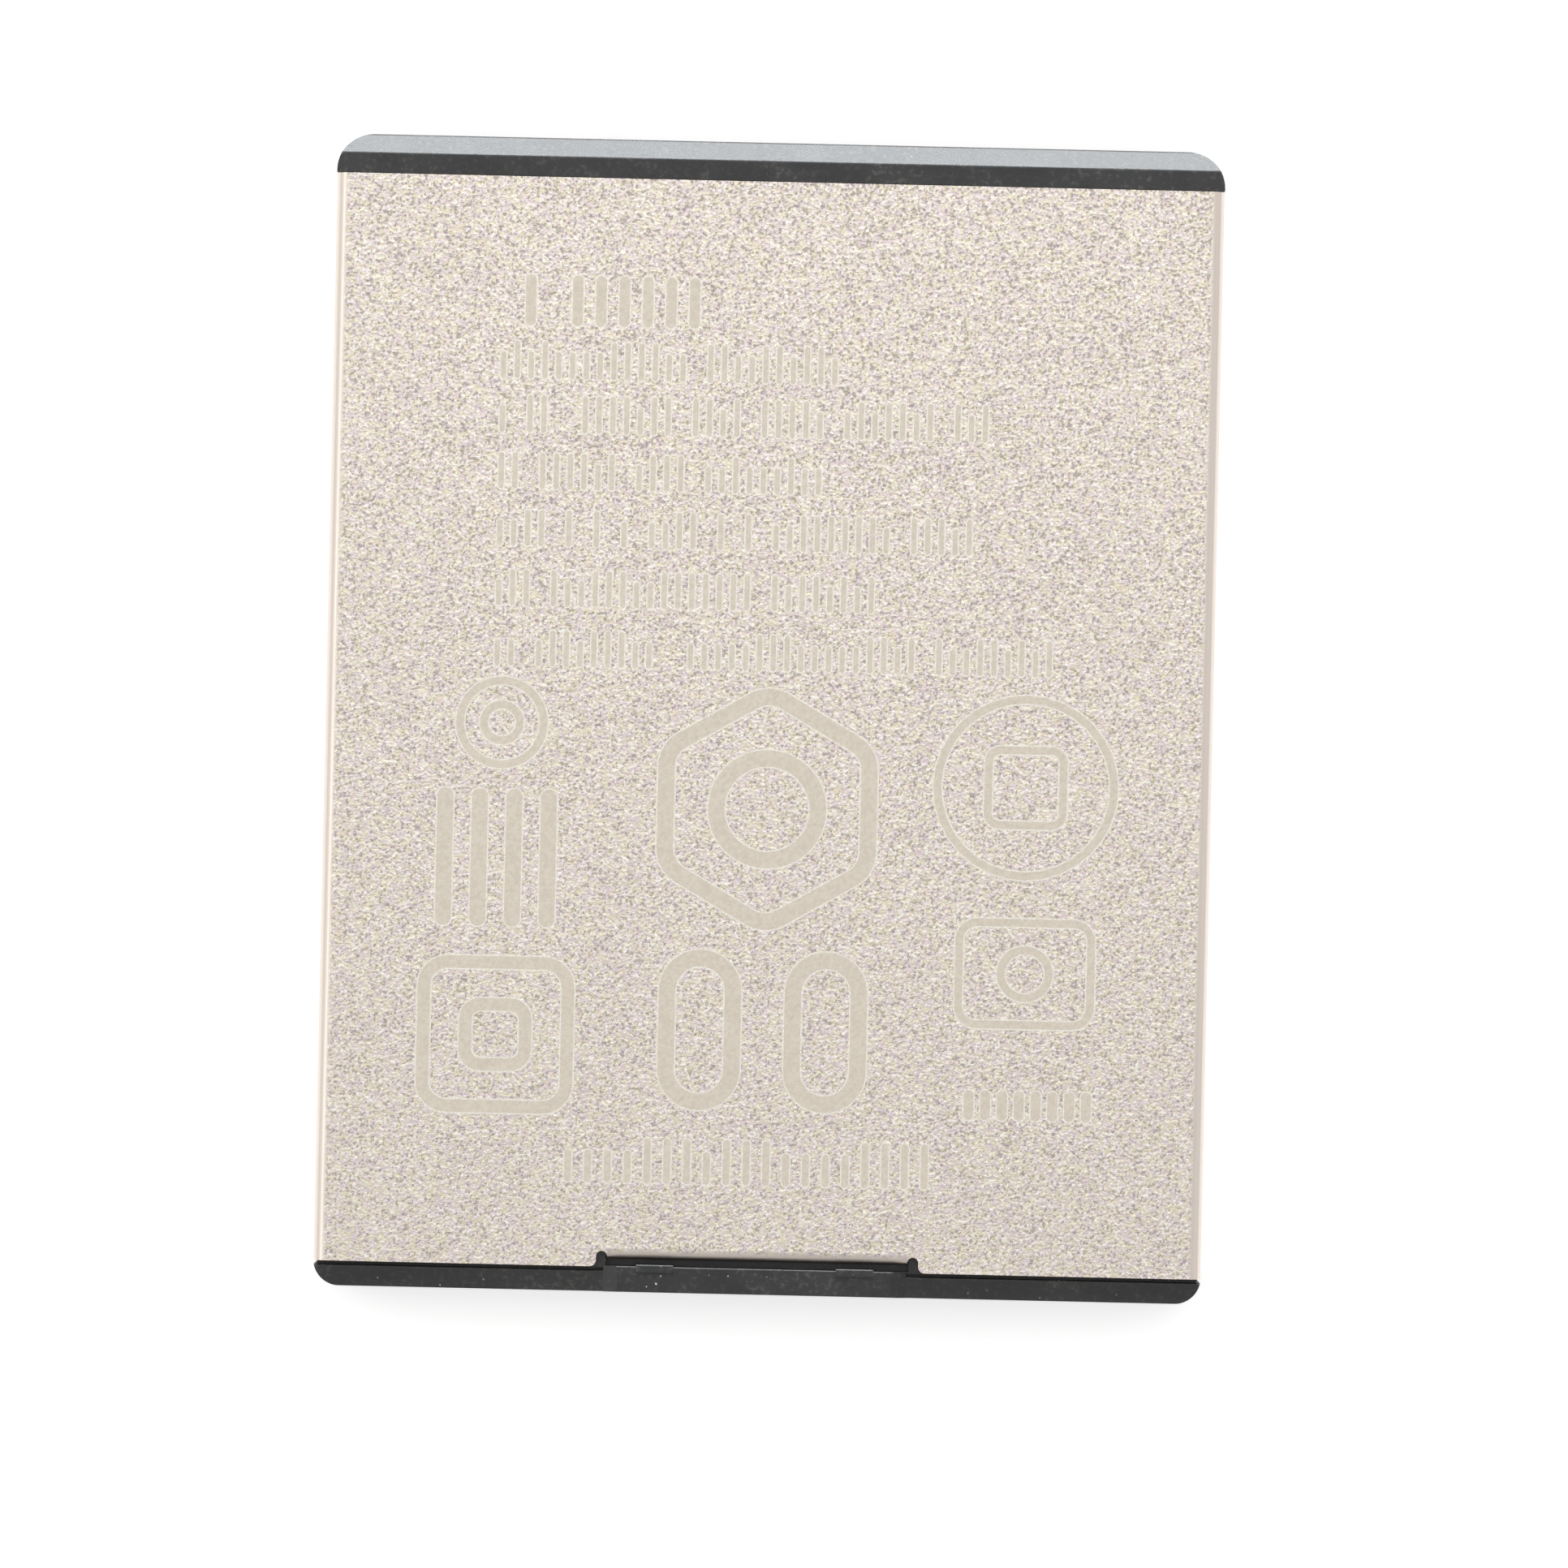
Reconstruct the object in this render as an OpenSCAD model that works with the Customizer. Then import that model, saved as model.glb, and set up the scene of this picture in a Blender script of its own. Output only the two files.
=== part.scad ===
// Removable memory card: two stamped covers over a moulded frame, drawn lying on its front cover.
// X runs across the card, Y from the connector end to the grip end, Z from front cover to rear cover.
// The origin is under the middle of the card.

/* [Card] */
// Width across the metal covers
card_width = 29.6; // [28:0.1:36]
// Length from the guide lips to the grip end
card_length = 38.5; // [36:0.1:47]
// Thickness from cover to cover
card_thickness = 3.8; // [3.7:0.05:4.8]

/* [Covers] */
// Thickness of the sheet
sheet = 0.25; // [0.15:0.01:0.3]
// Outer radius of every fold
fold_radius = 0.38; // [0.36:0.01:0.5]
// Height of the folded sides
flange_height = 1.8; // [1.5:0.05:1.8]
// Width of the folded tab at the connector end
tab_width = 10; // [8:0.1:11]
// How far the tab stands back from the end of the sheet
tab_set_back = 0.25; // [0.15:0.01:0.4]
// How far the tab reaches down
tab_drop = 0.55; // [0.45:0.01:0.6]
// Width of the relief slot on each side of the tab
relief_width = 0.37; // [0.3:0.01:0.5]
// Length of the relief slot
relief_length = 0.52; // [0.4:0.02:0.7]
// Radius of the sheet's corners beside the relief slots
relief_corner = 0.22; // [0.05:0.01:0.25]
// Width of the tongues that are crimped into the frame
tongue_width = 2; // [1.5:0.1:2.6]
// Reach of a tongue from the outside of the flange
tongue_reach = 0.9; // [0.7:0.05:1]
// Tongues on each side of a cover
tongue_count = 3; // [2:1:4]
// Distance from tongue to tongue
tongue_pitch = 9.5; // [7:0.5:11]
// How far the front cover's tongues are shifted along the card
tongue_stagger = 4; // [3.5:0.1:5]

/* [Frame] */
// Length of the bar at the grip end
grip_length = 1.34; // [1.2:0.02:1.8]
// Length of the bevel along the grip end
grip_bevel = 0.66; // [0.4:0.02:0.9]
// Depth of that bevel
grip_bevel_drop = 0.55; // [0.3:0.01:0.8]
// Radius of the card's corners at the grip end
grip_corner = 1.25; // [0.6:0.05:1.3]
// How far the grip bar lies below the metal
grip_recess = 0.04; // [0.02:0.01:0.1]
// Length of the bar at the connector end, with its groove
nose_length = 0.84; // [0.75:0.01:1]
// How far that bar lies below the metal
nose_recess = 0.2; // [0.1:0.01:0.3]
// Radius of the card's corners at the connector end
nose_corner = 0.88; // [0.5:0.02:1]
// Groove between the end of the covers and the bar
groove_width = 0.13; // [0.08:0.01:0.2]
// Depth of the groove below the metal
groove_depth = 0.5; // [0.4:0.02:0.6]
// Thickness of the frame's wall between the connector end and the housing
nose_wall = 1.55; // [1.45:0.01:1.8]
// Thickness of the wall inside the grip bar
end_wall = 2.1; // [1.5:0.05:2.6]
// Thickness of the side rails beside the circuit board
rail_width = 0.75; // [0.7:0.01:1]
// Width of the ledge that carries the circuit board
ledge_width = 0.8; // [0.5:0.05:1.2]
// Radius of the rounded edges of the moulding
edge_radius = 0.12; // [0.05:0.01:0.15]
// Diameter of the pins that locate the circuit board
pin_diameter = 1.2; // [0.8:0.05:1.4]

/* [Connector] */
// Length of the raised middle of the bar
block_width = 9.14; // [7:0.02:9.4]
// Offset of that raised middle from the centre line
block_offset = -0.08; // [-0.1:0.02:0.1]
// Width of the ramp at each end of the raised middle
ramp_width = 0.48; // [0.3:0.02:0.5]
// Gap between the raised middle and the cover's tab
block_gap = 0.22; // [0.15:0.01:0.3]
// Width of the two bosses behind the raised middle
boss_width = 1.24; // [0.8:0.02:1.6]
// Distance from a boss to the end of the raised middle
boss_inset = 0.62; // [0.3:0.02:0.8]
// How far the bosses reach towards the tab
boss_reach = 0.06; // [0.02:0.01:0.1]
// Width of the slot
slot_width = 14.2; // [14:0.1:16]
// Height of the slot
slot_height = 1.2; // [1:0.05:1.3]
// Depth of the slot's ceiling below the rear cover
slot_drop = 0.85; // [0.8:0.01:1]
// Depth of the slot behind the end of the card
slot_depth = 6.4; // [5.6:0.1:7]
// Radius of the slot's corners
slot_corner = 0.2; // [0.1:0.02:0.4]
// Width of the key channel where it meets the slot
key_width = 7.7; // [6:0.1:8]
// Width of the key channel at its floor
key_floor = 5.8; // [4:0.1:5.9]
// Depth of the key channel
key_depth = 0.65; // [0.4:0.05:0.7]
// Length of the key channel behind the end of the card
key_length = 2.6; // [2:0.1:3]
// How far the guide lips stand proud beside the key
lip_proud = 0.06; // [0.02:0.01:0.15]
// Width of the connector's insulator
housing_width = 22.4; // [20:0.1:23]
// Length of the connector's insulator
housing_depth = 6.1; // [6:0.1:7]
// Contacts in each row
contacts_per_row = 10; // [6:1:10]
// Distance from contact to contact
contact_pitch = 1.27; // [1:0.01:1.3]
// Width of a contact
contact_width = 0.42; // [0.3:0.01:0.5]
// Thickness of a contact
contact_thickness = 0.15; // [0.1:0.01:0.15]
// How far a contact reaches into the slot
contact_lift = 0.34; // [0.2:0.01:0.4]
// Radius of the contacts' bends, at mid thickness
contact_bend = 0.22; // [0.15:0.01:0.25]
// Length of the solder foot of a contact
foot_length = 0.9; // [0.6:0.05:1]

/* [Circuit] */
// Thickness of the circuit board
board_thickness = 0.7; // [0.6:0.05:0.8]
// Thickness of the soft thermal pads
pad_thickness = 0.3; // [0.2:0.02:0.4]
// Length of the controller chip along and across the card
controller_size = 11; // [10:0.1:11.2]
// Width of the memory buffer chip
buffer_width = 7.5; // [6:0.1:7.6]
// Length of the board kept for the contacts' feet
foot_zone = 2.5; // [2.4:0.1:3]
// Width of the board kept free beside the chips
side_zone = 1.9; // [1.6:0.05:2.2]
// Gap between one chip and the next
chip_gap = 0.5; // [0.4:0.05:0.8]
// Side of the square power chip
power_size = 4; // [3:0.1:4.2]
// Height of the power chip
power_height = 0.75; // [0.6:0.05:0.8]
// Height of the boot memory chip
boot_height = 0.6; // [0.4:0.05:0.8]

/* [Fits] */
// Gap between a cover and the frame inside it
cover_gap = 0.02; // [0.01:0.01:0.04]
// Gap round what is let into the frame
frame_gap = 0.05; // [0.03:0.01:0.06]
// Gap round a contact where it passes through the insulator
contact_gap = 0.02; // [0.01:0.01:0.03]

/* [Hidden] */
$fn = 96;
lap = 0.1;
bend_steps = 8;

half_width = card_width / 2;
grip_end = card_length / 2;
nose_end = -card_length / 2 + lip_proud;
cover_back = grip_end - grip_length;
cover_front = nose_end + nose_length;
bar_back = cover_front - groove_width;
tab_face = cover_front + tab_set_back;
block_back = tab_face - block_gap;
core_front = cover_front - 2 * cover_gap;

flange_edge = card_thickness - flange_height;
core_low = sheet + cover_gap;
core_high = card_thickness - core_low;
core_half = half_width - sheet - cover_gap;
core_corner = fold_radius - sheet - cover_gap;

slot_high = card_thickness - slot_drop;
slot_low = slot_high - slot_height;
tab_pocket_floor = card_thickness - tab_drop - frame_gap;

housing_front = nose_end + nose_wall;
housing_back = housing_front + housing_depth;
slot_end = nose_end + slot_depth;

board_low = (card_thickness - board_thickness) / 2;
board_high = board_low + board_thickness;
cavity_half = core_half - rail_width;
cavity_end = cover_back - end_wall;
board_half = cavity_half - frame_gap;
board_end = cavity_end - frame_gap;
board_front = housing_back + frame_gap;
board_corner = 1;
board_tongue = 0.45;
board_tongue_half = housing_width / 2 - 1;
end_ledge = 0.3;

pin_x = (cavity_half + housing_width / 2) / 2;
pin_set_back = 1.25;
pin_y = board_front + pin_set_back;
pin_block = 2.2;
pin_stand = 0.4;

chip_height = board_low - sheet - pad_thickness;
chip_edge = board_half - side_zone;
side_middle = board_half - side_zone / 2;
controller_front = board_front + foot_zone;
controller_end = controller_front + controller_size;
flash_front = controller_end + chip_gap;
flash_length = board_end - chip_gap - flash_front;
flash_width = chip_edge - chip_gap / 2;
inductor_pitch = 2.4;
boot_size = [3, 2];
capacitor_size = [1, 0.5, 0.5];
resistor_size = [0.6, 0.3, 0.25];

contact_root_high = slot_high + contact_thickness;
contact_root_low = board_low - contact_thickness / 2;
contact_foot_high = board_high + contact_thickness / 2;
contact_tip = housing_front + 0.35;
contact_crown = contact_tip + 1.1;
contact_root = contact_tip + 3.6;
foot_step = 0.6;
groove_front = contact_tip - 0.15;
groove_play = 0.03;
contact_numbers = [1:contacts_per_row];

metal_colour = [0.84, 0.81, 0.77];
plastic_colour = [0.13, 0.13, 0.13];
insulator_colour = [0.09, 0.09, 0.1];
contact_colour = [0.86, 0.68, 0.3];
board_colour = [0.06, 0.28, 0.16];
chip_colour = [0.15, 0.15, 0.16];
ceramic_colour = [0.62, 0.5, 0.38];
pad_colour = [0.55, 0.6, 0.66];

// A box between two corners
module block(low, high) {
    translate(low) cube(high - low);
}

// A drawing in X and Z, drawn out from one Y to another
module along_y(from, to) {
    translate([0, to, 0]) rotate([90, 0, 0]) linear_extrude(to - from) children();
}

// A drawing in Y and Z, drawn out from one X to another
module along_x(from, to) {
    translate([from, 0, 0]) rotate([90, 0, 90]) linear_extrude(to - from) children();
}

module both_sides() {
    children();
    mirror([1, 0, 0]) children();
}

// The same form seen from the front cover's side
module turned_over() {
    translate([0, 0, card_thickness]) mirror([0, 0, 1]) children();
}

function unit(v) = v / norm(v);

// A convex outline with every corner rounded to the same radius
module rounded_outline(corners, radius) {
    count = len(corners);
    function before(i) = unit(corners[(i + count - 1) % count] - corners[i]);
    function after(i) = unit(corners[(i + 1) % count] - corners[i]);
    function half_angle(i) = acos(before(i) * after(i)) / 2;
    polygon([
        for (i = [0:count - 1])
            for (way = [before(i), after(i)])
                corners[i] + way * radius / tan(half_angle(i))
    ]);
    for (i = [0:count - 1]) {
        inward = unit(before(i) + after(i));
        translate(corners[i] + inward * radius / sin(half_angle(i))) circle(radius);
    }
}

// Points of a bent strip's middle line, each with the heading of the strip there
function heading(p, q) = atan2(q.y - p.y, q.x - p.x);
function turn(from, to) = (to - from + 540) % 360 - 180;
function bend_stations(path, i, radius) =
    let (
        start = heading(path[i - 1], path[i]),
        angle = turn(start, heading(path[i], path[i + 1])),
        side = sign(angle),
        run_in = radius * tan(abs(angle) / 2),
        centre = path[i] - run_in * [cos(start), sin(start)] + side * radius * [-sin(start), cos(start)]
    )
    [
        for (k = [0:bend_steps])
            let (way = start + angle * k / bend_steps)
            [centre + side * radius * [sin(way), -cos(way)], way]
    ];
function strip_stations(path, radius) =
    let (last = len(path) - 1)
    concat(
        [[path[0], heading(path[0], path[1])]],
        [for (i = [1:last - 1]) each bend_stations(path, i, radius)],
        [[path[last], heading(path[last - 1], path[last])]]
    );

// A strip of one thickness, bent along a path
module bent_strip(path, radius, thickness) {
    stations = strip_stations(path, radius);
    last = len(stations) - 1;
    function edge(i, side) =
        stations[i][0] + side * thickness / 2 * [-sin(stations[i][1]), cos(stations[i][1])];
    polygon(concat(
        [for (i = [0:last]) edge(i, 1)],
        [for (i = [last:-1:0]) edge(i, -1)]
    ));
}

// An upright outline with rounded shoulders
module shoulder_outline(width, height, radius) {
    translate([-width / 2, 0]) square([width, height - radius]);
    translate([-width / 2 + radius, 0]) square([width - 2 * radius, height]);
    for (side = [-1, 1]) {
        translate([side * (width / 2 - radius), height - radius]) circle(radius);
    }
}

// A fold at the origin, with one leg to the right and one leg down
module fold_outline(run, drop) {
    translate([fold_radius, -fold_radius]) difference() {
        intersection() {
            circle(fold_radius);
            translate([-fold_radius, 0]) square(fold_radius);
        }
        circle(fold_radius - sheet);
    }
    translate([0, -drop]) square([sheet, drop - fold_radius]);
    translate([fold_radius, -sheet]) square([run - fold_radius, sheet]);
}

function tongue_places(shift) = [
    for (i = [0:tongue_count - 1]) (i - (tongue_count - 1) / 2) * tongue_pitch + shift
];

// What is cut from a flange so that a tongue can be folded in
module tongue_relief(y) {
    half = tongue_width / 2 + relief_width;
    block(
        [half_width - sheet - lap, y - half, flange_edge - lap],
        [half_width + lap, y + half, flange_edge + fold_radius + lap]
    );
}

module tongue(y) {
    translate([half_width, 0, flange_edge]) along_y(y - tongue_width / 2, y + tongue_width / 2)
        rotate(180) fold_outline(tongue_reach, fold_radius + 2 * lap);
}

// The end of the sheet is cut back for the tab, with a relief slot on each side of it
module tab_cut_out() {
    slot_middle = (tab_width + relief_width) / 2;
    low = card_thickness - fold_radius;
    high = card_thickness + lap;
    block(
        [-tab_width / 2, cover_front - lap, low],
        [tab_width / 2, tab_face + fold_radius, high]
    );
    for (side = [-1, 1]) {
        translate([side * slot_middle, 0, low]) {
            block(
                [-relief_width / 2, cover_front - lap, 0],
                [relief_width / 2, cover_front + relief_length - relief_width / 2, high - low]
            );
            translate([0, cover_front + relief_length - relief_width / 2, 0])
                cylinder(d = relief_width, h = high - low);
        }
        translate([side * (tab_width / 2 + relief_width), cover_front, low])
            mirror([side < 0 ? 1 : 0, 0, 0]) difference() {
                block([-lap, -lap, 0], [relief_corner, relief_corner, high - low]);
                translate([relief_corner, relief_corner, -lap])
                    cylinder(r = relief_corner, h = high - low + 2 * lap);
            }
    }
}

module stamped_cover(tongue_shift) {
    difference() {
        along_y(cover_front, cover_back) translate([0, flange_edge]) difference() {
            shoulder_outline(card_width, flange_height, fold_radius);
            translate([0, -sheet])
                shoulder_outline(card_width - 2 * sheet, flange_height, fold_radius - sheet);
        }
        tab_cut_out();
        both_sides() for (y = tongue_places(tongue_shift)) tongue_relief(y);
    }
    along_x(-tab_width / 2, tab_width / 2) translate([tab_face, card_thickness])
        fold_outline(relief_length + lap, tab_drop);
    both_sides() for (y = tongue_places(tongue_shift)) tongue(y);
}

module rear_cover() {
    color(metal_colour) stamped_cover(0);
}

module front_cover() {
    color(metal_colour) turned_over() stamped_cover(tongue_stagger);
}

// An outline that is square at its front and has two rounded corners at its back
module rounded_end(half, front, back, radius) {
    translate([-half, front]) square([2 * half, back - front - radius]);
    translate([-half + radius, front]) square([2 * (half - radius), back - front]);
    for (side = [-1, 1]) {
        translate([side * (half - radius), back - radius]) circle(radius);
    }
}

// The card's plan with its four corner radii, as the bars at its ends follow it
module plan() {
    rounded_end(half_width, 0, grip_end, grip_corner);
    mirror([0, 1]) rounded_end(half_width, 0, -nose_end, nose_corner);
}

module grip_bar() {
    low = grip_recess;
    high = card_thickness - grip_recess;
    intersection() {
        linear_extrude(card_thickness) intersection() {
            plan();
            translate([-half_width, cover_back + cover_gap]) square([card_width, grip_length]);
        }
        along_x(-half_width, half_width) rounded_outline([
            [cover_back - grip_length, low],
            [grip_end - grip_bevel, low],
            [grip_end, low + grip_bevel_drop],
            [grip_end, high - grip_bevel_drop],
            [grip_end - grip_bevel, high],
            [cover_back - grip_length, high]
        ], edge_radius);
    }
    block(
        [-core_half + core_corner, cover_back - lap, core_low + core_corner],
        [core_half - core_corner, cover_back + lap, core_high - core_corner]
    );
}

module nose_bar() {
    low = nose_recess;
    high = card_thickness - nose_recess;
    intersection() {
        linear_extrude(card_thickness) plan();
        along_x(-half_width, half_width) rounded_outline([
            [nose_end, low],
            [bar_back, low],
            [bar_back, high],
            [nose_end, high]
        ], edge_radius / 2);
    }
    neck_half = half_width - groove_width;
    block(
        [-neck_half, bar_back - lap, groove_depth],
        [neck_half, cover_front - cover_gap, card_thickness - groove_depth]
    );
}

// The raised middle of the bar, with a ramp at each end
module raised_block() {
    half = block_width / 2;
    root = card_thickness - groove_depth - lap;
    low = card_thickness - nose_recess;
    high = card_thickness - grip_recess;
    translate([block_offset, 0, 0]) intersection() {
        along_y(nose_end, block_back) polygon([
            [-half - ramp_width, root],
            [-half - ramp_width, low],
            [-half, high],
            [half, high],
            [half + ramp_width, low],
            [half + ramp_width, root]
        ]);
        along_x(-half_width, half_width) rounded_outline([
            [nose_end, 0],
            [block_back, 0],
            [block_back, high],
            [nose_end, high]
        ], edge_radius / 2);
    }
}

// The two bosses that keep the tab from being bent towards the raised middle
module tab_bosses() {
    outer = block_width / 2 - boss_inset;
    translate([block_offset, 0, 0]) both_sides() along_x(outer - boss_width, outer) rounded_outline([
        [block_back - 2 * edge_radius, tab_pocket_floor - lap],
        [block_back + boss_reach, tab_pocket_floor - lap],
        [block_back + boss_reach, card_thickness],
        [block_back - 2 * edge_radius, card_thickness]
    ], edge_radius / 2);
}

module guide_lips() {
    inner = key_width / 2 + frame_gap;
    flat = 0.7;
    taper = 2;
    both_sides() translate([0, 0, core_low]) linear_extrude(slot_low - 2 * core_low) polygon([
        [inner, nose_end + lap],
        [inner, nose_end - lip_proud],
        [inner + flat, nose_end - lip_proud],
        [inner + flat + taper, nose_end],
        [inner + flat + taper, nose_end + lap]
    ]);
}

// The slot's opening seen along the card: a rounded slot with the key channel below its middle
module slot_outline(gap) {
    corner = slot_corner + gap;
    half = slot_width / 2 + gap;
    translate([-half + corner, slot_low - gap]) square([2 * (half - corner), slot_height + 2 * gap]);
    translate([-half, slot_low - gap + corner]) square([2 * half, slot_height + 2 * (gap - corner)]);
    for (x = [-half + corner, half - corner], z = [slot_low - gap + corner, slot_high + gap - corner]) {
        translate([x, z]) circle(corner);
    }
}

module key_outline() {
    polygon([
        [-key_width / 2, slot_low + slot_corner],
        [-key_width / 2, slot_low],
        [-key_floor / 2, slot_low - key_depth],
        [key_floor / 2, slot_low - key_depth],
        [key_width / 2, slot_low],
        [key_width / 2, slot_low + slot_corner]
    ]);
}

module slot_mouth() {
    chamfer = 0.18;
    along_y(nose_end - lip_proud - lap, housing_front + lap) {
        slot_outline(0);
        key_outline();
    }
    for (z = [slot_low, slot_high]) {
        translate([0, nose_end, z]) rotate([45, 0, 0])
            cube([slot_width - 2 * slot_corner, chamfer, chamfer], center = true);
    }
}

// Room in the frame for a cover's tab and tongues
module cover_pockets(tongue_shift) {
    half = tab_width / 2 + frame_gap;
    block(
        [-half, block_back, tab_pocket_floor],
        [half, housing_front + lap, card_thickness + lap]
    );
    both_sides() for (y = tongue_places(tongue_shift)) {
        block(
            [
                half_width - tongue_reach - frame_gap,
                y - tongue_width / 2 - frame_gap,
                flange_edge - cover_gap
            ],
            [
                half_width,
                y + tongue_width / 2 + frame_gap,
                flange_edge + fold_radius + frame_gap
            ]
        );
    }
}

module frame_core() {
    rib_half = half_width - groove_width;
    difference() {
        union() {
            along_y(core_front, cover_back) rounded_outline([
                [-core_half, core_low],
                [core_half, core_low],
                [core_half, core_high],
                [-core_half, core_high]
            ], core_corner);
            block(
                [-rib_half, core_front, card_thickness - flange_edge + cover_gap],
                [rib_half, cover_back, flange_edge - cover_gap]
            );
        }
        // The circuit board and the chips on its rear side
        translate([0, 0, board_low]) linear_extrude(card_thickness)
            rounded_end(cavity_half, housing_back, cavity_end, board_corner);
        // The chips on its front side, inside the ledge
        block(
            [-cavity_half + ledge_width, housing_back - lap, -lap],
            [cavity_half - ledge_width, cavity_end - end_ledge, board_low + lap]
        );
        // The connector's insulator
        block(
            [-housing_width / 2 - frame_gap, housing_front, -lap],
            [housing_width / 2 + frame_gap, housing_back + lap, card_thickness + lap]
        );
    }
    both_sides() {
        block(
            [pin_x - pin_block / 2, housing_back, core_low],
            [cavity_half, pin_y + pin_block / 2, board_low]
        );
        translate([pin_x, pin_y, core_low])
            cylinder(d = pin_diameter, h = board_high + pin_stand - core_low);
    }
}

module frame() {
    color(plastic_colour) union() {
        difference() {
            union() {
                frame_core();
                grip_bar();
                nose_bar();
                raised_block();
                turned_over() raised_block();
                guide_lips();
            }
            slot_mouth();
            cover_pockets(0);
            turned_over() cover_pockets(tongue_stagger);
        }
        tab_bosses();
        turned_over() tab_bosses();
    }
}

function contact_x(i) = (i - (contacts_per_row + 1) / 2) * contact_pitch;

module contact_passages(root, slot_wall) {
    half_slot = contact_width / 2 + contact_gap;
    half_thick = contact_thickness / 2 + contact_gap;
    beyond = sign(root - slot_wall) * (contact_thickness / 2 + groove_play);
    for (i = contact_numbers) {
        translate([contact_x(i), 0, 0]) {
            block(
                [-half_slot, groove_front, min(slot_wall - lap, root + beyond)],
                [half_slot, slot_end, max(slot_wall + lap, root + beyond)]
            );
            block(
                [-half_slot, slot_end - lap, root - half_thick],
                [half_slot, housing_back + lap, root + half_thick]
            );
        }
    }
}

module connector_housing() {
    half = housing_width / 2;
    tongue_half = board_tongue_half + frame_gap;
    notch_front = housing_back - board_tongue - frame_gap;
    end_relief = 1.2;
    pocket_depth = 0.4;
    color(insulator_colour) difference() {
        block([-half, housing_front + cover_gap, core_low], [half, housing_back, core_high]);
        along_y(housing_front, slot_end) slot_outline(cover_gap);
        along_y(housing_front, nose_end + key_length) key_outline();
        contact_passages(contact_root_high, slot_high);
        contact_passages(contact_root_low, slot_low);
        block(
            [-tongue_half, notch_front, board_low],
            [tongue_half, housing_back + lap, board_high + frame_gap]
        );
        // Shallow pockets keep the moulding's ends from sinking
        both_sides() for (z = [core_low, core_high]) {
            block(
                [slot_width / 2 + end_relief, housing_front + end_relief, z - pocket_depth],
                [half - end_relief, housing_back - end_relief, z + pocket_depth]
            );
        }
    }
}

// Middle line of a contact, from its tip in the slot to its solder foot on the board
function contact_path(wall, into, root, foot) = [
    [contact_tip, wall - into * 0.1],
    [contact_tip + 0.4, wall - into * 0.02],
    [contact_crown, wall + into * (contact_lift - contact_thickness / 2)],
    [contact_root, root],
    each (root == foot ? [] : [[housing_back + foot_step / 4, root], [housing_back + foot_step, foot]]),
    [housing_back + foot_step + foot_length, foot]
];

module contact(i, path) {
    x = contact_x(i);
    color(contact_colour) along_x(x - contact_width / 2, x + contact_width / 2)
        bent_strip(path, contact_bend, contact_thickness);
}

module upper_contact(i) {
    contact(i, contact_path(slot_high, -1, contact_root_high, contact_foot_high));
}

module lower_contact(i) {
    contact(i, contact_path(slot_low, 1, contact_root_low, contact_root_low));
}

// Solder lug beside the housing, hooked over the edge of the board
module hold_down() {
    lug = 1.1;
    thick = 0.2;
    x = housing_width / 2 - lug;
    color(metal_colour) {
        block([x - lug, housing_back, board_high], [x, housing_back + foot_length, board_high + thick]);
        block([x - lug, housing_back, board_high], [x, housing_back + thick, board_high + 3 * thick]);
    }
}

module hold_down_right() {
    hold_down();
}

module hold_down_left() {
    mirror([1, 0, 0]) hold_down();
}

module circuit_board() {
    color(board_colour) translate([0, 0, board_low]) linear_extrude(board_thickness) difference() {
        union() {
            rounded_end(board_half, board_front, board_end, board_corner);
            translate([-board_tongue_half, board_front - board_tongue - frame_gap])
                square([2 * board_tongue_half, board_tongue + 2 * frame_gap]);
        }
        for (side = [-1, 1]) {
            translate([side * pin_x, pin_y]) circle(d = pin_diameter + 2 * frame_gap);
        }
    }
}

module on_rear_side() {
    translate([0, 0, board_high]) children();
}

module on_front_side() {
    translate([0, 0, board_low]) mirror([0, 0, 1]) children();
}

// A moulded chip on its carrier, with a dimple at the first corner
module chip(low, high, height) {
    carrier = height / 4;
    inset = 0.08;
    dimple = 0.35;
    dimple_depth = 0.04;
    color(chip_colour) difference() {
        union() {
            block([low.x, low.y, 0], [high.x, high.y, carrier]);
            block([low.x + inset, low.y + inset, 0], [high.x - inset, high.y - inset, height]);
        }
        translate([low.x + 3 * dimple, low.y + 3 * dimple, height - dimple_depth])
            cylinder(r = dimple, h = height);
    }
}

module controller_chip() {
    low = [-chip_edge, controller_front];
    on_rear_side() chip(low, [low.x + controller_size, controller_end], chip_height);
}

module memory_buffer_chip() {
    low = [chip_edge - buffer_width, controller_front];
    on_rear_side() chip(low, [chip_edge, controller_end], chip_height);
}

// Two on the rear side, then two on the front side
module flash_chip(i) {
    left = i % 2 == 1 ? -chip_edge : chip_edge - flash_width;
    low = [left, flash_front];
    high = [left + flash_width, flash_front + flash_length];
    if (i <= 2) {
        on_rear_side() chip(low, high, chip_height);
    } else {
        on_front_side() chip(low, high, chip_height);
    }
}

module power_chip() {
    on_front_side() chip(
        [-chip_edge, controller_front],
        [-chip_edge + power_size, controller_front + power_size],
        power_height
    );
}

module boot_memory_chip() {
    low = [1, controller_front + 1];
    on_front_side() chip(low, low + boot_size, boot_height);
}

// A pressed coil body between its two terminals
module inductor(y) {
    body = [2.5, 2, 0.9];
    terminal = 0.4;
    terminal_inset = 0.2;
    skin = 0.05;
    x = -chip_edge + power_size + chip_gap;
    color(chip_colour) on_front_side() translate([x, y, 0]) {
        block([skin, 0, skin], [body.x - skin, body.y, body.z]);
        for (end = [0, body.x - terminal]) {
            block([end, terminal_inset, 0], [end + terminal, body.y - terminal_inset, body.z / 2]);
        }
    }
}

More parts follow.
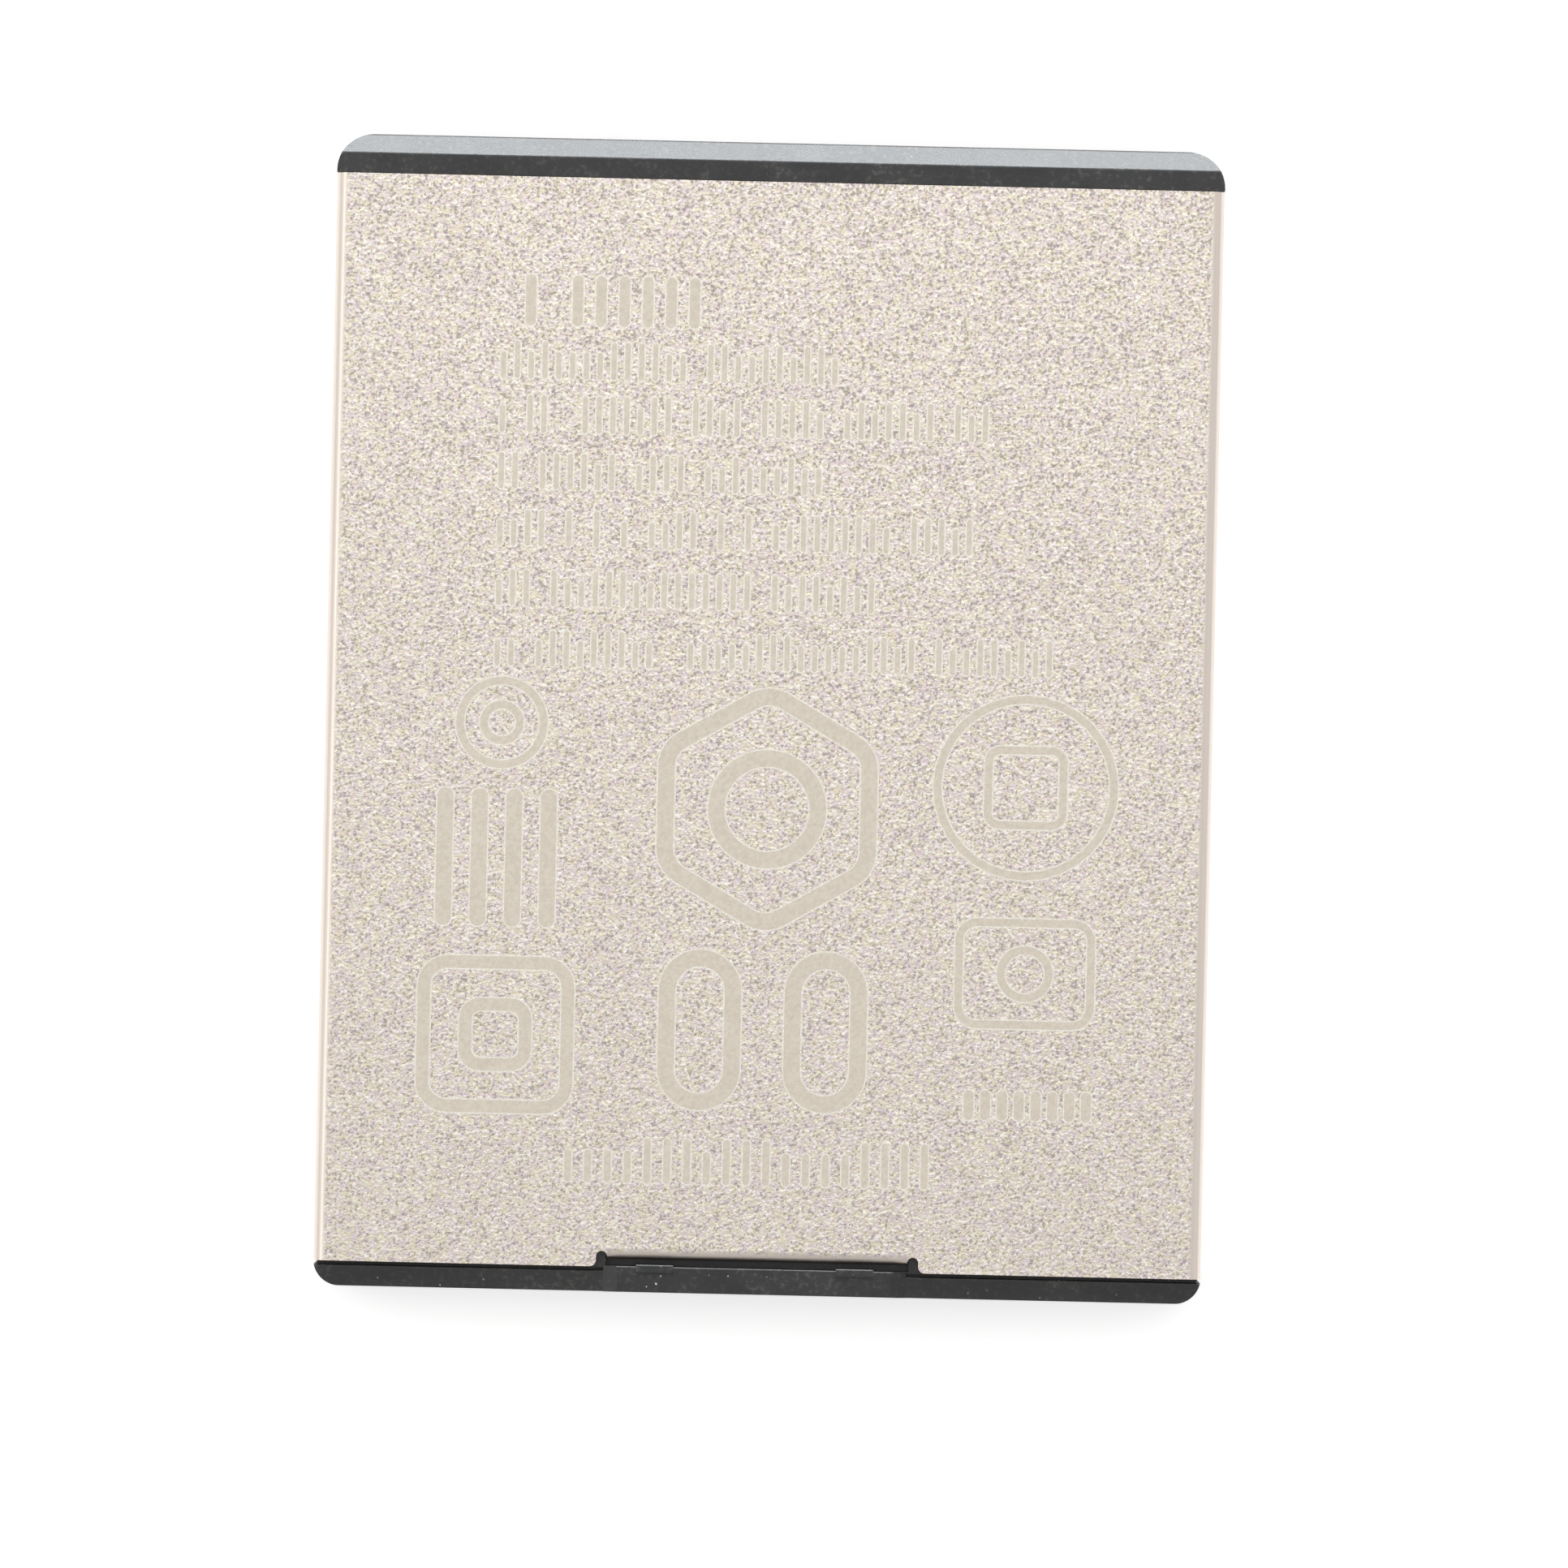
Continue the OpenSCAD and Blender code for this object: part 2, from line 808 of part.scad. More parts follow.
module oscillator() {
    base = [2, 1.6, 0.35];
    lid_inset = 0.15;
    lid_height = 0.45;
    color(metal_colour) on_front_side() translate([chip_edge - 3 * base.x, controller_front + 1, 0]) {
        block([0, 0, 0], base);
        block([lid_inset, lid_inset, 0], [base.x - lid_inset, base.y - lid_inset, lid_height]);
    }
}

// A chip capacitor or resistor, centred, with its two metal ends
module passive(size) {
    end = size.x / 4;
    skin = 0.02;
    block([-size.x / 2 + end, -size.y / 2, skin], [size.x / 2 - end, size.y / 2, size.z - skin]);
    for (side = [-1, 1]) {
        middle = side * (size.x - end) / 2;
        block(
            [middle - end / 2, -size.y / 2 - skin, 0],
            [middle + end / 2, size.y / 2 + skin, size.z]
        );
    }
}

// A row of them from a first place, each turned by an angle
module passive_row(size, first, step, count, angle) {
    for (i = [0:count - 1]) {
        translate(first + i * step) rotate(angle) passive(size);
    }
}

module ceramic_capacitors() {
    columns = 3;
    column_pitch = 1.5;
    row_pitch = 1.25;
    side_pitch = 1.9;
    between_chips = [-chip_edge + controller_size + 1.1, controller_front + 1];
    beside_flash = [side_middle - 0.35, flash_front + 1.5];
    below_controller = [-chip_edge + 1, controller_end - 2];
    color(ceramic_colour) {
        on_rear_side() {
            for (column = [0:columns - 1]) {
                first = between_chips + [column * column_pitch, 0];
                passive_row(capacitor_size, first, [0, row_pitch], 8, 0);
            }
            both_sides() passive_row(capacitor_size, beside_flash, [0, side_pitch], 6, 90);
        }
        on_front_side() passive_row(capacitor_size, below_controller, [row_pitch, 0], 4, 90);
    }
}

module chip_resistors() {
    side_pitch = 1.6;
    front_pitch = 0.9;
    beside_controller = [side_middle, controller_front + 2];
    beside_boot_chip = [1.3, controller_front + 5];
    color(chip_colour) {
        on_rear_side() both_sides()
            passive_row(resistor_size, beside_controller, [0, side_pitch], 5, 90);
        on_front_side() passive_row(resistor_size, beside_boot_chip, [front_pitch, 0], 6, 90);
    }
}

module thermal_pad(low, high) {
    inset = 0.4;
    color(pad_colour) block(
        [low.x + inset, low.y + inset, board_high + chip_height],
        [high.x - inset, high.y - inset, card_thickness - sheet]
    );
}

module controller_pad() {
    thermal_pad([-chip_edge, controller_front], [-chip_edge + controller_size, controller_end]);
}

module rear_flash_pad() {
    thermal_pad([-chip_edge, flash_front], [chip_edge, flash_front + flash_length]);
}

module front_flash_pad() {
    turned_over() rear_flash_pad();
}

rear_cover();
front_cover();
frame();
connector_housing();
for (i = contact_numbers) {
    upper_contact(i);
    lower_contact(i);
}
hold_down_left();
hold_down_right();
circuit_board();
controller_chip();
memory_buffer_chip();
for (i = [1:4]) {
    flash_chip(i);
}
power_chip();
inductor(controller_front);  // inductor_1
inductor(controller_front + inductor_pitch);  // inductor_2
boot_memory_chip();
oscillator();
ceramic_capacitors();
chip_resistors();
controller_pad();
rear_flash_pad();
front_flash_pad();
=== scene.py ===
import math

import bmesh
import bpy
from mathutils import Matrix, Vector


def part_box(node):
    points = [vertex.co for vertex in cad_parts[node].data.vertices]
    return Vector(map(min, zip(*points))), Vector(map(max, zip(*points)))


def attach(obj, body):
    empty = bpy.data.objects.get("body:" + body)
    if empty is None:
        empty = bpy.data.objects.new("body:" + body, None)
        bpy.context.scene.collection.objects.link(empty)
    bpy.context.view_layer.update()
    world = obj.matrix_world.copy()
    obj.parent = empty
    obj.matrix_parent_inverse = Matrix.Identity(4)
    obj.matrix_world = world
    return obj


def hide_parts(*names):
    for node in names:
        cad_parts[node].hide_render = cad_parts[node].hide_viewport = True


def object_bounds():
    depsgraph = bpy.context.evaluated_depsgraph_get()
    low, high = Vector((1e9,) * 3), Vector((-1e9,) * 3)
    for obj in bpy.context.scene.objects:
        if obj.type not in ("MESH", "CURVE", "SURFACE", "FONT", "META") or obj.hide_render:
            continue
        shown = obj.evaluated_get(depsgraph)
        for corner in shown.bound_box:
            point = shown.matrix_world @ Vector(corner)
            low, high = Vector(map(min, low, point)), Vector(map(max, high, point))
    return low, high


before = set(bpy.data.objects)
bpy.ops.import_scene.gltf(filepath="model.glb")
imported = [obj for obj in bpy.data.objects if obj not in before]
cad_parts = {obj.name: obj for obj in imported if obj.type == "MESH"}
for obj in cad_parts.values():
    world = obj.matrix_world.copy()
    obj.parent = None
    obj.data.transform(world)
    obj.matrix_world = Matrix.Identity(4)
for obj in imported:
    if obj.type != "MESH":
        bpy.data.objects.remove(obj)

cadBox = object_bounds()
print("frame loaded with", len(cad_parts), "nodes")

# Pieces are worked in millimetres and shrunk to metres when they are finished
millimetre = 0.001


class Value:
    # A socket of a node tree, so that sums and products of sockets read as plain expressions

    def __init__(self, nodes, socket):
        self.nodes = nodes
        self.socket = socket

    def maths(self, operation, *terms):
        return self.nodes.add("ShaderNodeMath", {"operation": operation}, dict(enumerate(terms)))

    def __add__(self, other):
        return self.maths("ADD", self, other)

    def __radd__(self, other):
        return self.maths("ADD", other, self)

    def __sub__(self, other):
        return self.maths("SUBTRACT", self, other)

    def __rsub__(self, other):
        return self.maths("SUBTRACT", other, self)

    def __mul__(self, other):
        return self.maths("MULTIPLY", self, other)

    def __rmul__(self, other):
        return self.maths("MULTIPLY", other, self)

    def __truediv__(self, other):
        return self.maths("DIVIDE", self, other)

    def __gt__(self, other):
        return self.maths("GREATER_THAN", self, other)

    def __lt__(self, other):
        return self.maths("LESS_THAN", self, other)

    def __abs__(self):
        return self.maths("ABSOLUTE", self)

    def larger(self, other):
        return self.maths("MAXIMUM", self, other)

    def whole(self):
        return self.maths("FLOOR", self)

    def rise(self, low, high):
        # Nought below low, one above high, with a soft step between them
        settings = {"interpolation_type": "SMOOTHSTEP"}
        sockets = {"Value": self, "From Min": low, "From Max": high}
        return self.nodes.add("ShaderNodeMapRange", settings, sockets)


class Nodes:
    # A shader or geometry tree, and the one way that a node is added to it

    def __init__(self, tree):
        self.tree = tree

    def add(self, kind, settings=None, sockets=None, output=0):
        node = self.tree.nodes.new(kind)
        for name, setting in (settings or {}).items():
            setattr(node, name, setting)
        for name, value in (sockets or {}).items():
            if isinstance(value, Value):
                self.tree.links.new(value.socket, node.inputs[name])
            else:
                node.inputs[name].default_value = value
        return Value(self, node.outputs[output]) if len(node.outputs) else node

    def parts(self, vector):
        node = self.add("ShaderNodeSeparateXYZ", None, {0: vector}).socket.node
        return [Value(self, socket) for socket in node.outputs]

    def place(self):
        return self.add("ShaderNodeTexCoord", output="Object")

    def turned(self, vector, angle, stretch):
        # The same place on axes turned about Z, with its second axis drawn out
        turn = math.radians(angle)
        sockets = {"Vector": vector, "Rotation": (0.0, 0.0, turn), "Scale": (1.0, stretch, 1.0)}
        return self.add("ShaderNodeMapping", {"vector_type": "TEXTURE"}, sockets)

    def noise(self, vector, size, detail=2.0, rough=0.5, shift=0.0):
        # Cloudy noise with patches of about this size in millimetres
        if shift:
            ends = {0: vector, 1: (shift, shift, shift)}
            vector = self.add("ShaderNodeVectorMath", {"operation": "ADD"}, ends)
        sockets = {"Vector": vector, "Scale": 1.0 / (size * millimetre), "Detail": detail, "Roughness": rough}
        return self.add("ShaderNodeTexNoise", None, sockets)

    def specks(self, vector, size, chance):
        # Uneven specks in a few of a grid's cells, one at a speck's middle
        grid = {"Vector": vector, "Scale": 1.0 / (size * millimetre)}
        distance = self.add("ShaderNodeTexVoronoi", None, grid)
        red, green, blue = self.parts(self.add("ShaderNodeTexVoronoi", None, grid, "Color"))
        ragged = distance + 0.3 * self.noise(vector, 0.3 * size, 2.0, 0.7)
        reach = 0.2 + 0.16 * green
        return (red < chance) * (1.0 - (ragged - reach).rise(0.0, 0.08)) * (0.4 + 0.6 * blue)

    def blend(self, amount, first, second):
        settings = {"data_type": "RGBA"}
        return self.add("ShaderNodeMix", settings, {0: amount, 6: first, 7: second}, 2)

    def bump(self, height, depth):
        sockets = {"Height": height, "Distance": depth * millimetre, "Strength": 1.0}
        return self.add("ShaderNodeBump", None, sockets)


def colour(red, green, blue):
    # The colour that these values of 0 to 255 show on a screen
    return tuple((part / 255 / 12.92 if part < 10.3 else ((part / 255 + 0.055) / 1.055) ** 2.4)
                 for part in (red, green, blue)) + (1.0,)


def surface(name, make):
    # A material whose shader takes its sockets from what make(nodes) returns
    material = bpy.data.materials.new(name)
    material.use_nodes = True
    material.node_tree.nodes.clear()
    nodes = Nodes(material.node_tree)
    shader = nodes.add("ShaderNodeBsdfPrincipled", None, make(nodes))
    nodes.add("ShaderNodeOutputMaterial", None, {"Surface": shader})
    return material


coverLook = {
    "metal": colour(231, 220, 210),
    # Painted highlight: the glint colour lightens the grain's tops as though they caught the lamps
    "glint": colour(255, 252, 244),
    "glintHighlightAmount": 0.8,
    # Painted shade: the pit colour darkens the grain's pits as though they lay in shadow
    "pit": colour(134, 124, 121),
    "pitShadeAmount": 0.57,
    "rose": colour(228, 211, 219),
    "straw": colour(236, 227, 197),
    "roughness": 0.3,
    "grit": 0.112,
    "depth": 0.02,
    "patch": 3.5,
    # The sheet's folds, which stay plain: their radius, and the tab's set-back and half width
    "bend": 0.38,
    "tabSetBack": 0.25,
    "tabHalfWidth": 5.3,
}


def coverMetalSockets(nodes):
    # Blasted steel: grain on the flat with painted glint highlights and painted shade in its pits, none of it
    # on the bends, flanges and sheared edges
    look = coverLook
    place = nodes.place()
    x, y = nodes.parts(place)[:2]
    low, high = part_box("rear_cover")
    side = abs(x)
    bend = look["bend"] * millimetre
    flat = 1.0 - side.rise(high.x - 1.15 * bend, high.x - 0.8 * bend)
    tabBend = low.y + look["tabSetBack"] * millimetre + bend
    nearTab = (1.0 - y.rise(tabBend - 0.7 * bend, tabBend)) * (side < look["tabHalfWidth"] * millimetre)
    flat = flat * (1.0 - nearTab)
    grit = look["grit"]
    fine = nodes.noise(place, grit, 1.0, 0.6, 0.31)
    coarse = nodes.noise(place, grit * 2.1, 1.0, 0.5, 0.07)
    dark = nodes.noise(place, grit * 0.9, 1.0, 0.5, 0.77)
    tint = nodes.noise(place, grit * 1.6, 1.0, 0.5, 0.13)
    patch = nodes.noise(place, look["patch"], 2.0, 0.5)
    sharp = fine - 0.35 * coarse
    glint = sharp.rise(0.28, 0.54) * flat
    pit = dark.rise(0.48, 0.74) * flat
    ground = nodes.blend(tint.rise(0.35, 0.65), look["rose"], look["straw"])
    ground = nodes.blend(0.4 + 0.6 * (1.0 - flat), ground, look["metal"])
    # Painted highlight: glints lighten the base colour where the grain's tops would catch the light
    bright = nodes.blend(glint * look["glintHighlightAmount"], ground, look["glint"])
    # Painted shade: the pits are darkened in the base colour as though shadowed; this is not wear
    worn = nodes.blend(pit * look["pitShadeAmount"], bright, look["pit"])
    height = (sharp + 0.3 * coarse - 0.6 * pit) * flat
    return {
        "Base Color": worn,
        "Metallic": 1.0,
        "Roughness": look["roughness"] + 0.08 * patch + 0.08 * pit,
        "Normal": nodes.bump(height, look["depth"]),
    }


etchLook = {
    "floor": colour(233, 224, 211),
    "shade": colour(219, 209, 196),
    # Painted highlight: the rim colour is lighter than the floor, standing in for light caught on the rim's
    # slope
    "rim": colour(255, 254, 246),
    "mottle": 0.12,
    "hair": 0.06,
    "hairTurn": -38.0,
    "ripple": 0.06,
}


def etchFloorSockets(nodes):
    # The matt floor of the engraving, faintly mottled, with hair scratches
    look = etchLook
    place = nodes.place()
    mottle = nodes.noise(place, look["mottle"], 3.0, 0.6)
    hair = nodes.noise(nodes.turned(place, look["hairTurn"], 9.0), look["hair"], 1.0, 0.5, 0.21)
    scratch = hair.rise(0.62, 0.72)
    amount = mottle.rise(0.35, 0.65) * 0.6 + scratch * 0.4
    return {
        "Base Color": nodes.blend(amount, look["floor"], look["shade"]),
        "Metallic": 1.0,
        "Roughness": 0.5 + 0.12 * mottle,
        "Normal": nodes.bump(mottle + scratch * 0.5, 0.004),
    }


# The sloping edge round each mark, with a painted highlight: its colour is lighter than the floor, as though
# the slope caught the light
def etchRimHighlightSockets(nodes):
    # The melted edge that the laser leaves round each mark
    look = etchLook
    ripple = nodes.noise(nodes.place(), look["ripple"], 2.0, 0.5)
    return {
        "Base Color": nodes.blend(ripple.rise(0.3, 0.7), look["rim"], look["floor"]),
        "Metallic": 1.0,
        "Roughness": 0.42 + 0.1 * ripple,
        "Normal": nodes.bump(ripple, 0.003),
    }


frameLook = {
    "black": colour(28, 28, 29),
    "worn": colour(47, 47, 48),
    "bloom": colour(84, 80, 74),
    "bloomSize": 0.17,
    "cloud": 1.6,
    "texture": 0.06,
    "scuff": 0.14,
    "scuffTurn": 84.0,
    "dust": colour(205, 205, 200),
    "dustSize": 0.16,
    "dustChance": 0.06,
    "dustReach": 1.2,
}


def framePlasticSockets(nodes):
    # Black glass-filled plastic, satin, with a spark-eroded texture and dust at the connector end
    look = frameLook
    place = nodes.place()
    y = nodes.parts(place)[1]
    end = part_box("frame")[0].y
    reach = look["dustReach"] * millimetre
    spark = nodes.noise(place, look["texture"], 3.0, 0.6)
    cloud = nodes.noise(place, look["cloud"], 3.0, 0.55, 0.4)
    scuff = nodes.noise(nodes.turned(place, look["scuffTurn"], 10.0), look["scuff"], 2.0, 0.6, 0.9)
    scuff = scuff.rise(0.66, 0.78)
    front = 1.0 - y.rise(end + 0.4 * reach, end + reach)
    clump = nodes.noise(place, 2.6, 1.0, 0.5, 0.6).rise(0.36, 0.58)
    dust = nodes.specks(place, look["dustSize"], look["dustChance"]) * clump * (0.2 + 0.8 * front)
    bloom = nodes.noise(place, look["bloomSize"], 2.0, 0.55, 0.5).rise(0.5, 0.72)
    bloom = bloom * (0.3 + 0.7 * cloud.rise(0.42, 0.62))
    ground = nodes.blend(cloud.rise(0.35, 0.7) * 0.5 + scuff * 0.4, look["black"], look["worn"])
    ground = nodes.blend(bloom * 0.5, ground, look["bloom"])
    return {
        "Base Color": nodes.blend(dust, ground, look["dust"]),
        "Roughness": 0.32 + 0.12 * cloud + 0.12 * scuff + 0.3 * dust,
        "Specular IOR Level": 0.5,
        "Normal": nodes.bump(spark + 0.4 * dust, 0.006),
    }


insulatorLook = {"black": colour(24, 24, 25), "streak": colour(44, 44, 46), "flow": 0.16, "grain": 0.05}


def insulatorSockets(nodes):
    # Black liquid crystal polymer, with its pale flow streaks along the moulding
    look = insulatorLook
    place = nodes.place()
    flow = nodes.noise(nodes.turned(place, 90.0, 9.0), look["flow"], 3.0, 0.6)
    grain = nodes.noise(place, look["grain"], 2.0, 0.5, 0.5)
    return {
        "Base Color": nodes.blend(flow.rise(0.4, 0.75), look["black"], look["streak"]),
        "Roughness": 0.36 + 0.2 * flow,
        "Normal": nodes.bump(grain + 0.5 * flow, 0.003),
    }


contactLook = {"gold": colour(240, 205, 128), "worn": colour(226, 196, 142), "rolling": 0.03, "cloud": 0.5}


def contactGoldSockets(nodes):
    # Gold over nickel, rolled along the strip, paler in clouds where it is worn
    look = contactLook
    place = nodes.place()
    rolled = nodes.noise(nodes.turned(place, 0.0, 12.0), look["rolling"], 2.0, 0.5)
    cloud = nodes.noise(place, look["cloud"], 2.0, 0.5, 0.3)
    return {
        "Base Color": nodes.blend(cloud.rise(0.4, 0.7) * 0.6, look["gold"], look["worn"]),
        "Metallic": 1.0,
        "Roughness": 0.18 + 0.12 * rolled + 0.1 * cloud,
        "Normal": nodes.bump(rolled, 0.001),
    }


lugLook = {"light": colour(206, 207, 206), "dark": colour(172, 174, 176), "crystal": 0.09}


def lugTinSockets(nodes):
    # Matt tin plating
    look = lugLook
    crystal = nodes.noise(nodes.place(), look["crystal"], 3.0, 0.6)
    return {
        "Base Color": nodes.blend(crystal, look["light"], look["dark"]),
        "Metallic": 1.0,
        "Roughness": 0.34 + 0.22 * crystal,
        "Normal": nodes.bump(crystal, 0.003),
    }


boardLook = {
    "mask": colour(16, 48, 34),
    "maskOnCopper": colour(30, 82, 52),
    "glass": colour(186, 178, 128),
    "resin": colour(150, 146, 104),
    "maskThickness": 0.03,
    "lanePitch": 0.5,
    "plane": 3.2,
    "weave": 0.12,
}


def boardSockets(nodes):
    # Dark green solder mask, lighter over the copper that runs under it, bare glass weave at the edges
    look = boardLook
    place = nodes.place()
    z = nodes.parts(place)[2]
    low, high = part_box("circuit_board")
    # A wave of scale 0.314 has one band to a unit
    lanes = nodes.add("ShaderNodeTexWave", {"bands_direction": "X"}, {
        "Vector": place, "Scale": 0.314 / (look["lanePitch"] * millimetre), "Distortion": 1.5, "Detail": 0.0,
    }, "Fac")
    planes = nodes.noise(place, look["plane"], 0.0, 0.5, 0.6).rise(0.5, 0.53)
    copper = planes.larger(lanes.rise(0.55, 0.62))
    middle = 0.5 * (low.z + high.z)
    core = 0.5 * (high.z - low.z) - look["maskThickness"] * millimetre
    edge = 1.0 - abs(z - middle).rise(core, core + 0.01 * millimetre)
    weave = nodes.noise(place, look["weave"], 2.0, 0.5)
    mask = nodes.blend(copper, look["mask"], look["maskOnCopper"])
    glass = nodes.blend(weave, look["glass"], look["resin"])
    return {
        "Base Color": nodes.blend(edge, mask, glass),
        "Roughness": 0.3 + 0.3 * edge + 0.08 * weave,
        "Normal": nodes.bump(copper * (1.0 - edge), 0.02),
    }


chipLook = {"epoxy": colour(30, 30, 32), "silica": colour(58, 58, 60), "grain": 0.05, "cloud": 1.2}


def chipSockets(nodes):
    # Black epoxy with silica grains, a little glossier where the mould was polished
    look = chipLook
    place = nodes.place()
    silica = nodes.noise(place, look["grain"], 3.0, 0.7)
    cloud = nodes.noise(place, look["cloud"], 2.0, 0.5, 0.2)
    return {
        "Base Color": nodes.blend(silica.rise(0.4, 0.75), look["epoxy"], look["silica"]),
        "Roughness": 0.42 + 0.18 * cloud,
        "Normal": nodes.bump(silica, 0.004),
    }


ceramicLook = {"body": colour(146, 112, 82), "grain": colour(186, 154, 120), "grainSize": 0.07}


def ceramicSockets(nodes):
    # Fired brown ceramic, paler at its sintered grains
    look = ceramicLook
    grain = nodes.noise(nodes.place(), look["grainSize"], 3.0, 0.6)
    return {
        "Base Color": nodes.blend(grain, look["body"], look["grain"]),
        "Roughness": 0.4 + 0.2 * grain,
        "Normal": nodes.bump(grain, 0.003),
    }


padLook = {"silicone": colour(168, 176, 186), "powder": colour(196, 202, 208), "powderSize": 0.1}


def padSockets(nodes):
    # Soft grey silicone with a powdery fill
    look = padLook
    powder = nodes.noise(nodes.place(), look["powderSize"], 4.0, 0.7)
    return {
        "Base Color": nodes.blend(powder, look["silicone"], look["powder"]),
        "Roughness": 0.7 + 0.15 * powder,
        "Normal": nodes.bump(powder, 0.01),
    }


coverMetal = surface("blasted_steel", coverMetalSockets)
etchFloor = surface("etched_floor", etchFloorSockets)
etchRimHighlight = surface("etched_rim_highlight", etchRimHighlightSockets)
nodeFinishes = {
    "frame_plastic": surface("satin_black_plastic", framePlasticSockets),
    "insulator": surface("black_polymer", insulatorSockets),
    "contact_metal": surface("gold_plating", contactGoldSockets),
    "lug_metal": surface("tin_plating", lugTinSockets),
    "board_laminate": surface("solder_mask", boardSockets),
    "chip_mould": surface("epoxy_mould", chipSockets),
    "capacitor_ceramic": surface("fired_ceramic", ceramicSockets),
    "thermal_pad": surface("silicone_pad", padSockets),
}
print("finishes made")


def newPiece(name, data):
    # An object with this mesh, curve, light or camera
    piece = bpy.data.objects.new(name, data)
    bpy.context.scene.collection.objects.link(piece)
    return piece


def evaluatedMesh(piece):
    # The mesh that the modifiers give, as a plain one
    bpy.context.view_layer.update()
    graph = bpy.context.evaluated_depsgraph_get()
    return bpy.data.meshes.new_from_object(piece.evaluated_get(graph), depsgraph=graph)


engraving = {
    "depth": 0.02,
    "slope": 0.05,
    "strokeSides": 12,
    "shortening": 0.28,
    "firstSeed": 11,
    # A row's left end and middle height on the plate, its length, its strokes' height, width and pitch,
    # and how many of them are missing or short
    "rows": [
        (-9.2, 13.8, 7.6, 1.7, 0.36, 0.78, 0.13, 0.4),
        (-9.2, 11.8, 11.9, 1.25, 0.18, 0.46, 0.13, 0.4),
        (-9.2, 10.0, 16.8, 1.25, 0.18, 0.46, 0.13, 0.4),
        (-9.2, 8.1, 11.4, 1.2, 0.18, 0.46, 0.13, 0.4),
        (-9.2, 6.2, 16.1, 1.2, 0.18, 0.46, 0.13, 0.4),
        (-9.2, 4.2, 13.0, 1.2, 0.18, 0.46, 0.13, 0.4),
        (-9.2, 2.2, 19.1, 1.2, 0.18, 0.46, 0.13, 0.4),
        (-6.5, -14.8, 13.0, 1.5, 0.24, 0.66, 0.1, 0.4),
        (-11.0, -4.8, 5.2, 4.6, 0.55, 1.15, 0.0, 0.0),
        (6.75, -12.7, 4.8, 1.0, 0.34, 0.56, 0.0, 0.0),
    ],
}


def treeInputs(tree, names):
    # Named inputs after the geometry, as {name: socket identifier}
    tree.interface.new_socket("Geometry", in_out="INPUT", socket_type="NodeSocketGeometry")
    tree.interface.new_socket("Geometry", in_out="OUTPUT", socket_type="NodeSocketGeometry")
    kinds = {float: "NodeSocketFloat", int: "NodeSocketInt", tuple: "NodeSocketVector",
             bpy.types.Material: "NodeSocketMaterial"}
    found = {}
    for name, kind in names.items():
        found[name] = tree.interface.new_socket(name, in_out="INPUT", socket_type=kinds[kind]).identifier
    return found


def paintedCutter(nodes, start, geometry):
    # The cutter's bottom leaves the matt floor, its sloping sides leave the rim
    facing = nodes.parts(nodes.add("GeometryNodeInputNormal"))[2]
    rim = nodes.add("GeometryNodeSetMaterial", None, {"Geometry": geometry, "Material": start["Rim Finish"]})
    sockets = {"Geometry": rim, "Selection": facing < -0.99, "Material": start["Floor Finish"]}
    return nodes.add("GeometryNodeSetMaterial", None, sockets)


def treeStart(nodes, names):
    # The tree's inputs as values, by name
    node = nodes.add("NodeGroupInput").socket.node
    return {name: Value(nodes, node.outputs[name]) for name in ["Geometry", *names]}


markInputs = {
    "Start": tuple, "Length": float, "Pitch": float, "Tall": float, "Stroke": float, "Gap Chance": float,
    "Short Chance": float, "Depth": float, "Slope": float, "Seed": int,
    "Floor Finish": bpy.types.Material, "Rim Finish": bpy.types.Material,
}


